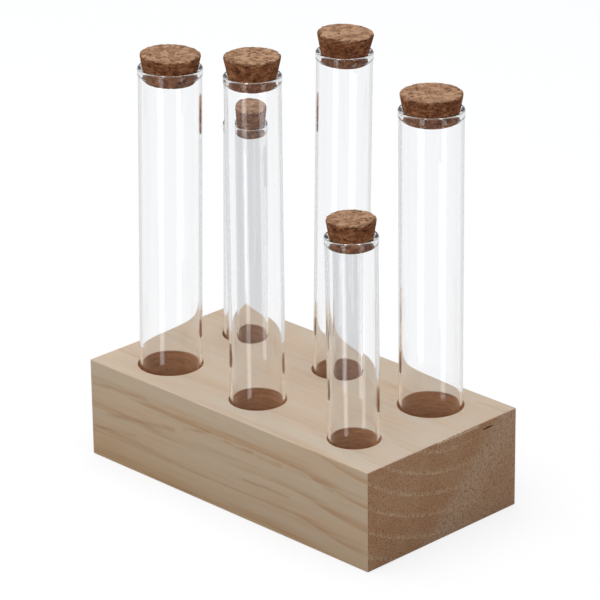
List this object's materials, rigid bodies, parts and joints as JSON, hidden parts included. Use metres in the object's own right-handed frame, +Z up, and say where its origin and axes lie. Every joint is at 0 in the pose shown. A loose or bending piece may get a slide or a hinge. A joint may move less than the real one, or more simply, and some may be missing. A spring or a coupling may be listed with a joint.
{
  "type": "test tube vase",
  "caption": "Softwood block with drilled holes in which loose glass test tubes stand upright, each closed with a tapered cork stopper.",
  "frame": {"origin": "centre of the block's underside", "axes": "+X along the block's length, +Y from the front face across its width, +Z up"},
  "size_m": [0.15, 0.08, 0.1764],
  "materials": {
    "pine": "sawn and lightly sanded, no lacquer",
    "clear_glass": "clear, fire-polished rim",
    "cork": "natural cork, cut and ground"
  },
  "bodies": {
    "block": {"wood_block": "pine"},
    "wide_tube_front": {"wide_tube_front": "clear_glass"},
    "wide_cork_front": {"wide_cork_front": "cork"},
    "tall_tube_front": {"tall_tube_front": "clear_glass"},
    "tall_cork_front": {"tall_cork_front": "cork"},
    "short_tube_front": {"short_tube_front": "clear_glass"},
    "short_cork_front": {"short_cork_front": "cork"},
    "short_tube_back": {"short_tube_back": "clear_glass"},
    "short_cork_back": {"short_cork_back": "cork"},
    "tall_tube_back": {"tall_tube_back": "clear_glass"},
    "tall_cork_back": {"tall_cork_back": "cork"},
    "wide_tube_back": {"wide_tube_back": "clear_glass"},
    "wide_cork_back": {"wide_cork_back": "cork"}
  },
  "joints": [
    {"name": "wide_tube_front_lift", "type": "slide", "parent": "block", "child": "wide_tube_front", "axis": [0.0147, 0.0147, 0.9998], "range_m": [0, 0.04]},
    {"name": "wide_cork_front_pull", "type": "slide", "parent": "wide_tube_front", "child": "wide_cork_front", "axis": [0.0147, 0.0147, 0.9998], "range_m": [0, 0.04]},
    {"name": "tall_tube_front_lift", "type": "slide", "parent": "block", "child": "tall_tube_front", "axis": [0, 0, 1], "range_m": [0, 0.04]},
    {"name": "tall_cork_front_pull", "type": "slide", "parent": "tall_tube_front", "child": "tall_cork_front", "axis": [0, 0, 1], "range_m": [0, 0.04]},
    {"name": "short_tube_front_lift", "type": "slide", "parent": "block", "child": "short_tube_front", "axis": [-0.0049, -0.0049, 1], "range_m": [0, 0.04]},
    {"name": "short_cork_front_pull", "type": "slide", "parent": "short_tube_front", "child": "short_cork_front", "axis": [-0.0049, -0.0049, 1], "range_m": [0, 0.04]},
    {"name": "short_tube_back_lift", "type": "slide", "parent": "block", "child": "short_tube_back", "axis": [0.0122, 0.0122, 0.9999], "range_m": [0, 0.04]},
    {"name": "short_cork_back_pull", "type": "slide", "parent": "short_tube_back", "child": "short_cork_back", "axis": [0.0122, 0.0122, 0.9999], "range_m": [0, 0.04]},
    {"name": "tall_tube_back_lift", "type": "slide", "parent": "block", "child": "tall_tube_back", "axis": [0.0128, 0.0128, 0.9998], "range_m": [0, 0.04]},
    {"name": "tall_cork_back_pull", "type": "slide", "parent": "tall_tube_back", "child": "tall_cork_back", "axis": [0.0128, 0.0128, 0.9998], "range_m": [0, 0.04]},
    {"name": "wide_tube_back_lift", "type": "slide", "parent": "block", "child": "wide_tube_back", "axis": [0, 0, 1], "range_m": [0, 0.04]},
    {"name": "wide_cork_back_pull", "type": "slide", "parent": "wide_tube_back", "child": "wide_cork_back", "axis": [0, 0, 1], "range_m": [0, 0.04]}
  ]
}
